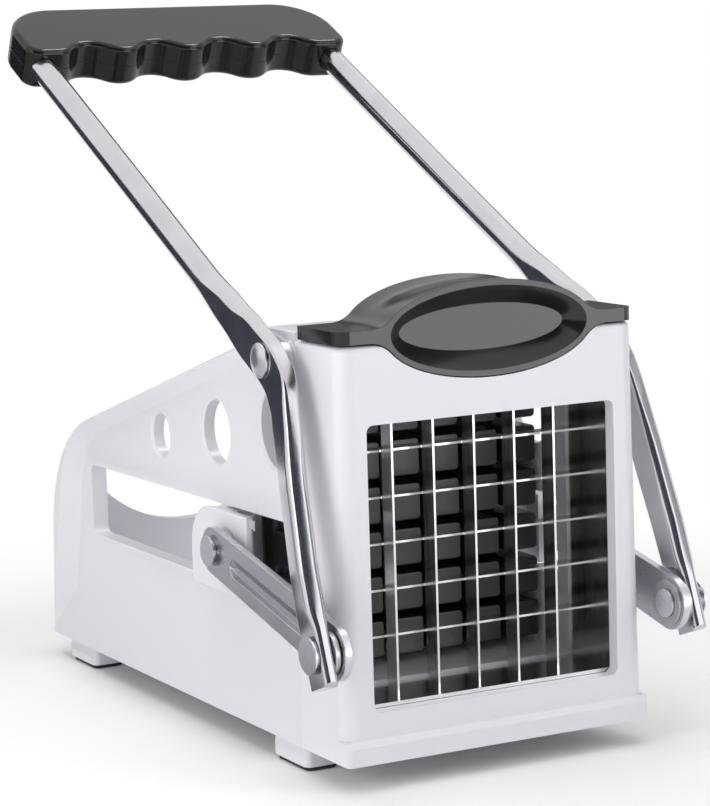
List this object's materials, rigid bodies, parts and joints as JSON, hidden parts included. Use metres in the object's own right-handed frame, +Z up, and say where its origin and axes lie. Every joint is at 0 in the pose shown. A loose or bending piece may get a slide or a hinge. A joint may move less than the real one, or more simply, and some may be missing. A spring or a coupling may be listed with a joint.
{
  "type": "french fry cutter",
  "caption": "Table-top lever cutter: the handle drives a fingered ram along a tray and pushes a potato through a square blade grid.",
  "frame": {"origin": "middle of the bounding box in X and Y, at the plane the foot pads rest on", "axes": "+X across the machine, +Y from the cutting window to the back of the tray, +Z up"},
  "size_m": [0.1218, 0.2254, 0.2087],
  "materials": {
    "white_plastic": "white moulded plastic, satin to gloss",
    "dark_plastic": "dark grey moulded plastic, glossy",
    "polished_steel": "polished stainless steel tube and rivets",
    "satin_steel": "satin stainless steel sheet",
    "blade_steel": "ground stainless steel",
    "zinc_steel": "zinc plated steel",
    "black_rubber": "black rubber"
  },
  "bodies": {
    "housing": {"housing": "white_plastic", "foot_pads": "black_rubber", "pivot_screw_left": "polished_steel", "pivot_screw_right": "polished_steel", "pivot_spacer_left": "zinc_steel", "pivot_spacer_right": "zinc_steel"},
    "lever": {"lever_arm_left": "polished_steel", "lever_arm_right": "polished_steel", "lever_rivet_left": "polished_steel", "lever_rivet_right": "polished_steel", "lever_washer_left": "zinc_steel", "lever_washer_right": "zinc_steel", "grip_upper": "dark_plastic", "grip_lower": "dark_plastic", "grip_screws": "zinc_steel"},
    "pusher": {"pusher_carriage": "white_plastic", "pusher_head": "dark_plastic", "pusher_fingers": "dark_plastic", "pusher_screws": "zinc_steel", "pusher_pin_left": "polished_steel", "pusher_pin_right": "polished_steel", "pusher_washer_left": "zinc_steel", "pusher_washer_right": "zinc_steel"},
    "links": {"link_left": "satin_steel", "link_right": "satin_steel", "link_washer_left": "zinc_steel", "link_washer_right": "zinc_steel", "link_rivet_left": "polished_steel", "link_rivet_right": "polished_steel"},
    "blade_cassette": {"blade_cap": "dark_plastic", "blade_frame": "blade_steel", "vertical_blades": "blade_steel", "horizontal_blades": "blade_steel", "cap_screws": "zinc_steel"}
  },
  "joints": [
    {"name": "lever_pivot", "type": "hinge", "parent": "housing", "child": "lever", "pos_m": [0, -0.07039, 0.1137], "axis": [1, 0, 0], "range_deg": [-22, 50]},
    {"name": "pusher_slide", "type": "slide", "parent": "housing", "child": "pusher", "axis": [0, 1, 0], "range_m": [-0.0277, 0.0627]},
    {"name": "link_pivot", "type": "hinge", "parent": "pusher", "child": "links", "pos_m": [0, -0.03369, 0.0564], "axis": [1, 0, 0], "range_deg": [-4.6, 10.2]},
    {"name": "cap_lift", "type": "slide", "parent": "housing", "child": "blade_cassette", "axis": [0, 0, 1], "range_m": [0, 0.098]}
  ],
  "couplings": [
    {"joint": "pusher_slide", "follows": "lever_pivot", "m_per_rad": 0.07162},
    {"joint": "link_pivot", "follows": "lever_pivot", "ratio": 0.2}
  ]
}
